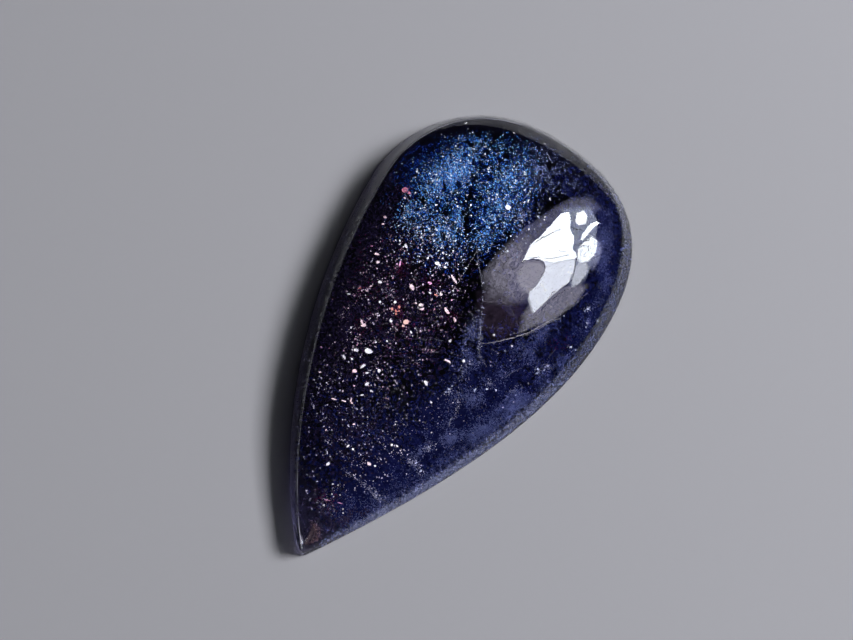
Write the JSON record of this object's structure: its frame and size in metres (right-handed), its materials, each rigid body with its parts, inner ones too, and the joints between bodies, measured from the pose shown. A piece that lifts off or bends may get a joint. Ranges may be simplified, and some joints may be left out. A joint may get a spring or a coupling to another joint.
{
  "type": "iolite sunstone cabochon",
  "caption": "Loose pear-shaped cabochon: a low polished dome with a sloping wall round its edge and a flat back to rest on or glue down.",
  "frame": {"origin": "middle of the stone's box, on the flat back", "axes": "+Z out of the flat back towards the top of the dome; +Y along the stone from its pointed end to its round end; +X across it"},
  "size_m": [0.0168, 0.03, 0.0041],
  "materials": {
    "stone": "polished, glassy, dark violet-blue and see-through at its thin edges"
  },
  "bodies": {
    "root": {"cabochon": "stone"}
  },
  "joints": []
}
